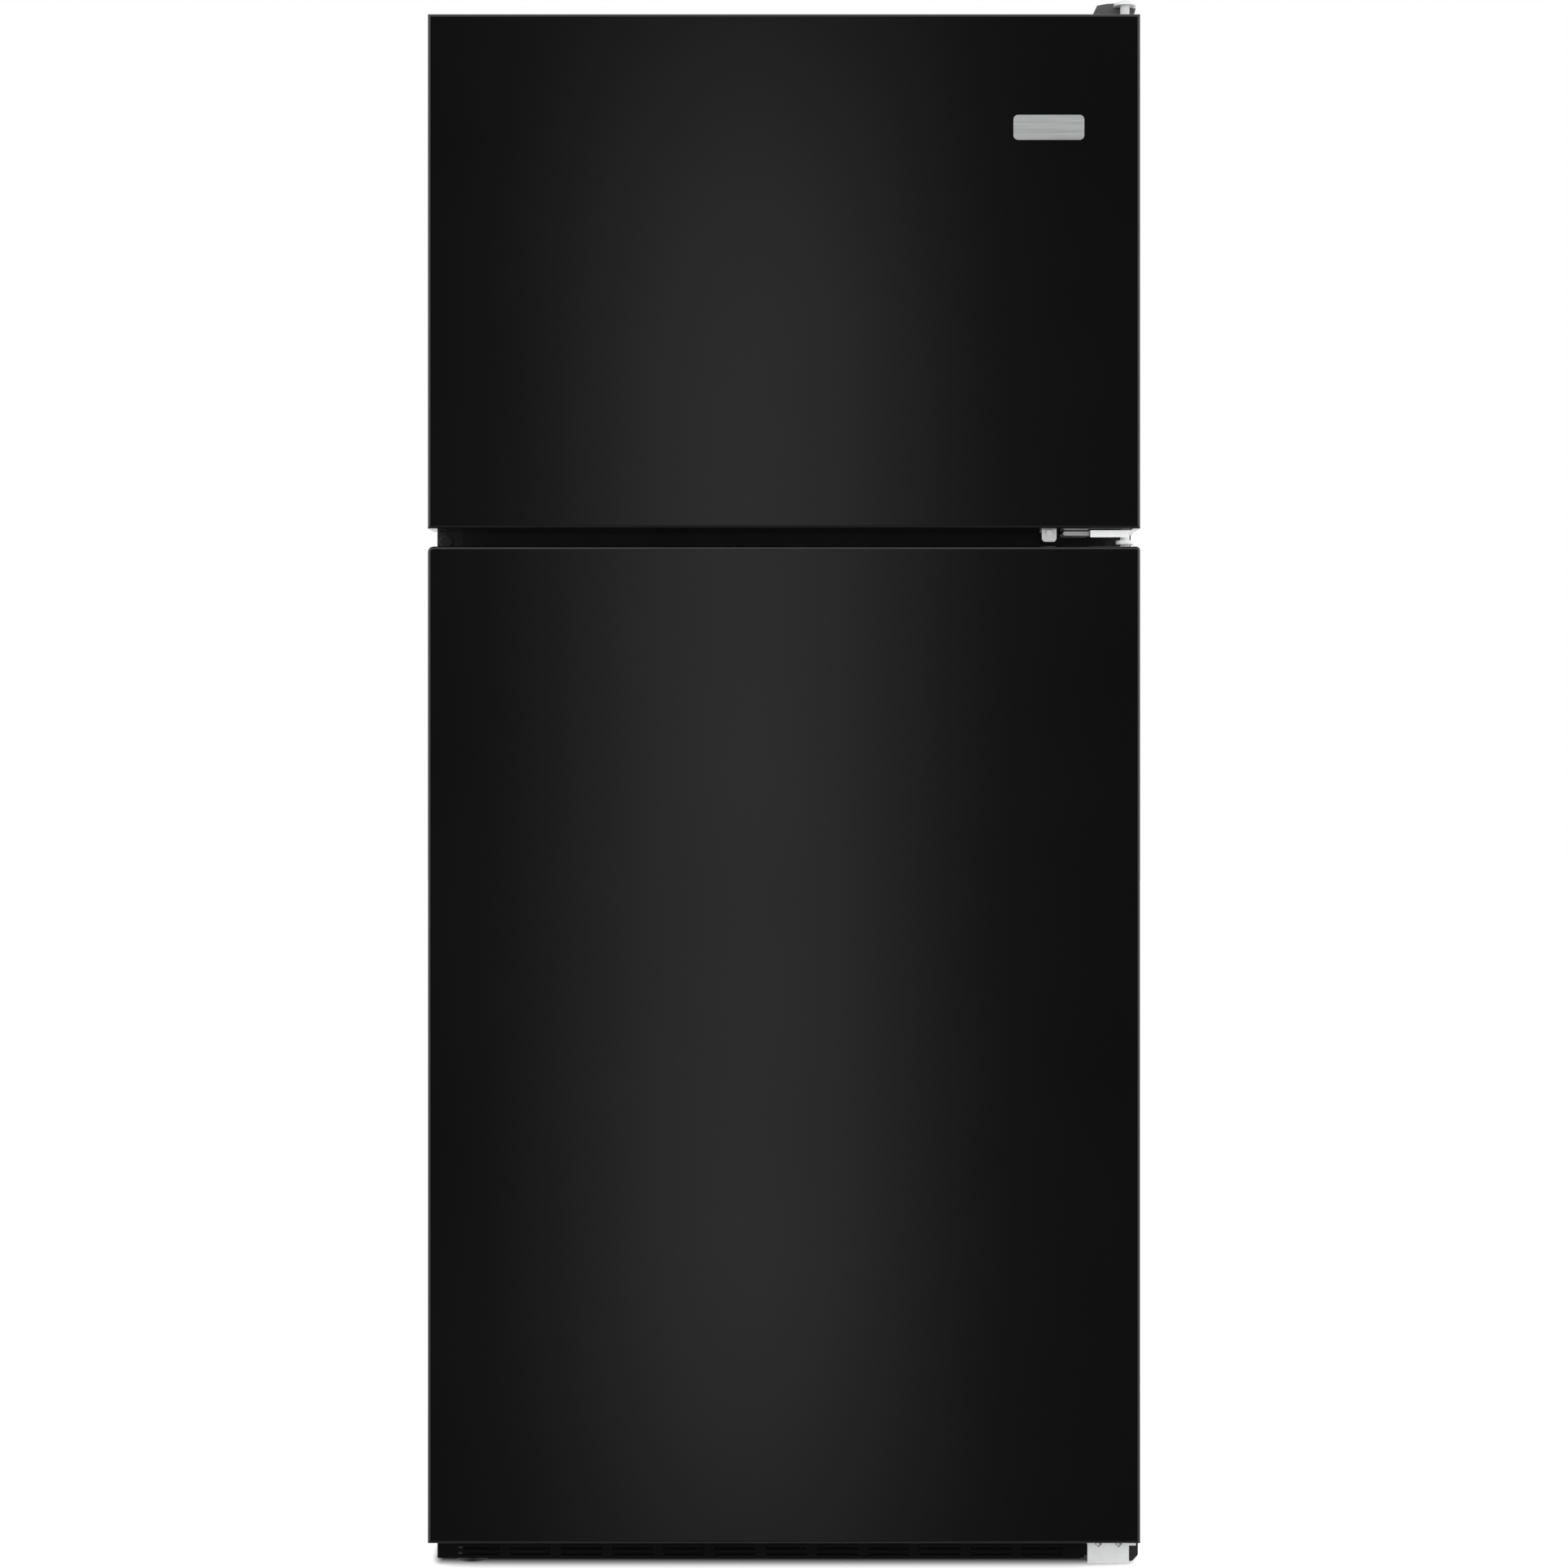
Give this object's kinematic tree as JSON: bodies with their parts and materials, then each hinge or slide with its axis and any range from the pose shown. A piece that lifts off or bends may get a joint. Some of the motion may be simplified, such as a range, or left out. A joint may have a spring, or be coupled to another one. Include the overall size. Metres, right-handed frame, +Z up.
{
  "type": "top freezer refrigerator",
  "caption": "Free-standing black top freezer refrigerator with right-hung doors, side grips, bins, glass shelves and crispers.",
  "frame": {"origin": "on the floor under the middle of the whole box", "axes": "+Z up, doors face -Y, hinges on the +X side"},
  "size_m": [0.7556, 0.781, 1.6828],
  "materials": {
    "cabinet_shell": "textured black paint",
    "back_panel": "bare galvanised sheet",
    "cabinet_foam": "rigid insulating foam",
    "freezer_liner": "white moulded liner",
    "fridge_liner": "white moulded liner",
    "center_rail": "black paint",
    "base_frame": "dark painted steel",
    "base_grille": "black moulded plastic",
    "hinge_hole_plugs": "black moulded plastic",
    "top_hinge": "zinc plated steel",
    "top_hinge_cover": "dark grey moulded plastic",
    "center_hinge": "zinc plated steel",
    "bottom_hinge": "zinc plated steel",
    "bottom_hinge_side_cover": "textured black plastic",
    "hex_screws": "zinc plated steel",
    "roller_brackets": "galvanised steel",
    "machine_cover": "dark painted sheet",
    "cord_grommet": "black rubber",
    "compressor": "gloss black paint",
    "condenser_coil": "black painted tube",
    "drain_pan": "black moulded plastic",
    "fan_motors": "dark steel",
    "evaporator_cover": "white moulded plastic",
    "evaporator_coil": "bare aluminium",
    "freezer_shelf": "white plastic coated wire",
    "shelf_frames": "pale grey moulded plastic",
    "shelf_glass": "clear tempered glass",
    "crisper_cover_frame": "pale grey moulded plastic",
    "control_housing": "white moulded plastic",
    "light_lens": "frosted plastic",
    "left_roller": "dark nylon",
    "right_roller": "dark nylon",
    "left_leveling_leg": "black nylon",
    "right_leveling_leg": "black nylon",
    "left_crisper": "clear smoked plastic",
    "right_crisper": "clear smoked plastic",
    "left_humidity_slider": "grey moulded plastic",
    "right_humidity_slider": "grey moulded plastic",
    "temperature_dial": "grey moulded plastic",
    "light_switch_plunger": "white nylon",
    "evaporator_fan_blade": "dark moulded plastic",
    "condenser_fan_blade": "dark moulded plastic",
    "freezer_door_panel": "smooth black paint",
    "freezer_door_foam": "rigid insulating foam",
    "freezer_door_liner": "white moulded liner",
    "freezer_door_gasket": "black vinyl",
    "freezer_door_caps": "black moulded plastic",
    "freezer_handle_pocket": "black moulded plastic",
    "freezer_door_bins": "clear plastic",
    "fridge_door_panel": "smooth black paint",
    "fridge_door_foam": "rigid insulating foam",
    "fridge_door_liner": "white moulded liner",
    "fridge_door_gasket": "black vinyl",
    "fridge_door_caps": "black moulded plastic",
    "fridge_handle_pocket": "black moulded plastic",
    "fridge_door_bins": "clear plastic",
    "badge": "satin plate",
    "freezer_door_stop": "light grey nylon",
    "dairy_box": "white moulded plastic",
    "dairy_lid": "clear plastic"
  },
  "bodies": {
    "cabinet": {"cabinet_shell": "cabinet_shell", "back_panel": "back_panel", "cabinet_foam": "cabinet_foam", "freezer_liner": "freezer_liner", "fridge_liner": "fridge_liner", "center_rail": "center_rail", "base_frame": "base_frame", "base_grille": "base_grille", "hinge_hole_plugs": "hinge_hole_plugs", "top_hinge": "top_hinge", "top_hinge_cover": "top_hinge_cover", "center_hinge": "center_hinge", "bottom_hinge": "bottom_hinge", "bottom_hinge_side_cover": "bottom_hinge_side_cover", "hex_screws": "hex_screws", "roller_brackets": "roller_brackets", "machine_cover": "machine_cover", "cord_grommet": "cord_grommet", "compressor": "compressor", "condenser_coil": "condenser_coil", "drain_pan": "drain_pan", "fan_motors": "fan_motors", "evaporator_cover": "evaporator_cover", "evaporator_coil": "evaporator_coil", "freezer_shelf": "freezer_shelf", "shelf_frames": "shelf_frames", "shelf_glass": "shelf_glass", "crisper_cover_frame": "crisper_cover_frame", "control_housing": "control_housing", "light_lens": "light_lens"},
    "freezer_door": {"freezer_door_panel": "freezer_door_panel", "freezer_door_foam": "freezer_door_foam", "freezer_door_liner": "freezer_door_liner", "freezer_door_gasket": "freezer_door_gasket", "freezer_door_caps": "freezer_door_caps", "freezer_handle_pocket": "freezer_handle_pocket", "badge": "badge", "freezer_door_bins": "freezer_door_bins", "freezer_door_stop": "freezer_door_stop"},
    "fridge_door": {"fridge_door_panel": "fridge_door_panel", "fridge_door_foam": "fridge_door_foam", "fridge_door_liner": "fridge_door_liner", "fridge_door_gasket": "fridge_door_gasket", "fridge_door_caps": "fridge_door_caps", "fridge_handle_pocket": "fridge_handle_pocket", "fridge_door_bins": "fridge_door_bins", "dairy_box": "dairy_box"},
    "dairy_flap": {"dairy_lid": "dairy_lid"},
    "left_roller_body": {"left_roller": "left_roller"},
    "right_roller_body": {"right_roller": "right_roller"},
    "left_leveling_leg_body": {"left_leveling_leg": "left_leveling_leg"},
    "right_leveling_leg_body": {"right_leveling_leg": "right_leveling_leg"},
    "left_crisper_body": {"left_crisper": "left_crisper"},
    "right_crisper_body": {"right_crisper": "right_crisper"},
    "left_humidity_slider_body": {"left_humidity_slider": "left_humidity_slider"},
    "right_humidity_slider_body": {"right_humidity_slider": "right_humidity_slider"},
    "temperature_dial_body": {"temperature_dial": "temperature_dial"},
    "light_switch_plunger_body": {"light_switch_plunger": "light_switch_plunger"},
    "evaporator_fan_blade_body": {"evaporator_fan_blade": "evaporator_fan_blade"},
    "condenser_fan_blade_body": {"condenser_fan_blade": "condenser_fan_blade"}
  },
  "joints": [
    {"name": "freezer_door_hinge", "type": "hinge", "parent": "cabinet", "child": "freezer_door", "pos_m": [0.364, -0.364, 1.39], "axis": [0, 0, 1], "range_deg": [0, 130]},
    {"name": "fridge_door_hinge", "type": "hinge", "parent": "cabinet", "child": "fridge_door", "pos_m": [0.364, -0.364, 0.57], "axis": [0, 0, 1], "range_deg": [0, 130]},
    {"name": "left_crisper_slide", "type": "slide", "parent": "cabinet", "child": "left_crisper_body", "axis": [0, -1, 0], "range_m": [0, 0.25]},
    {"name": "right_crisper_slide", "type": "slide", "parent": "cabinet", "child": "right_crisper_body", "axis": [0, -1, 0], "range_m": [0, 0.25]},
    {"name": "left_humidity_slide", "type": "slide", "parent": "left_crisper_body", "child": "left_humidity_slider_body", "axis": [1, 0, 0], "range_m": [0, 0.036]},
    {"name": "right_humidity_slide", "type": "slide", "parent": "right_crisper_body", "child": "right_humidity_slider_body", "axis": [1, 0, 0], "range_m": [0, 0.036]},
    {"name": "temperature_dial_turn", "type": "hinge", "parent": "cabinet", "child": "temperature_dial_body", "pos_m": [0.105, -0.115, 1.03], "axis": [0, 0, -1], "range_deg": [0, 270]},
    {"name": "light_switch_travel", "type": "slide", "parent": "cabinet", "child": "light_switch_plunger_body", "axis": [0, -1, 0], "range_m": [0, 0.006]},
    {"name": "dairy_flap_hinge", "type": "hinge", "parent": "fridge_door", "child": "dairy_flap", "pos_m": [-0.1605, -0.248, 1.029], "axis": [1, 0, 0], "range_deg": [0, 85]},
    {"name": "left_roller_axle", "type": "hinge", "parent": "cabinet", "child": "left_roller_body", "pos_m": [-0.325, 0.345, 0.015], "axis": [1, 0, 0], "continuous": true},
    {"name": "right_roller_axle", "type": "hinge", "parent": "cabinet", "child": "right_roller_body", "pos_m": [0.325, 0.345, 0.015], "axis": [1, 0, 0], "continuous": true},
    {"name": "left_leg_screw", "type": "slide", "parent": "cabinet", "child": "left_leveling_leg_body", "axis": [0, 0, -1], "range_m": [0, 0.012]},
    {"name": "right_leg_screw", "type": "slide", "parent": "cabinet", "child": "right_leveling_leg_body", "axis": [0, 0, -1], "range_m": [0, 0.012]},
    {"name": "evaporator_fan_shaft", "type": "hinge", "parent": "cabinet", "child": "evaporator_fan_blade_body", "pos_m": [0, 0.285, 1.545], "axis": [0, 1, 0], "continuous": true},
    {"name": "condenser_fan_shaft", "type": "hinge", "parent": "cabinet", "child": "condenser_fan_blade_body", "pos_m": [-0.046, 0.283, 0.15], "axis": [1, 0, 0], "continuous": true}
  ],
  "couplings": [
    {"joint": "left_crisper_slide", "follows": "fridge_door_hinge", "m_per_rad": 0.10998},
    {"joint": "right_crisper_slide", "follows": "fridge_door_hinge", "m_per_rad": 0.10998},
    {"joint": "light_switch_travel", "follows": "fridge_door_hinge", "m_per_rad": 0.002639}
  ]
}
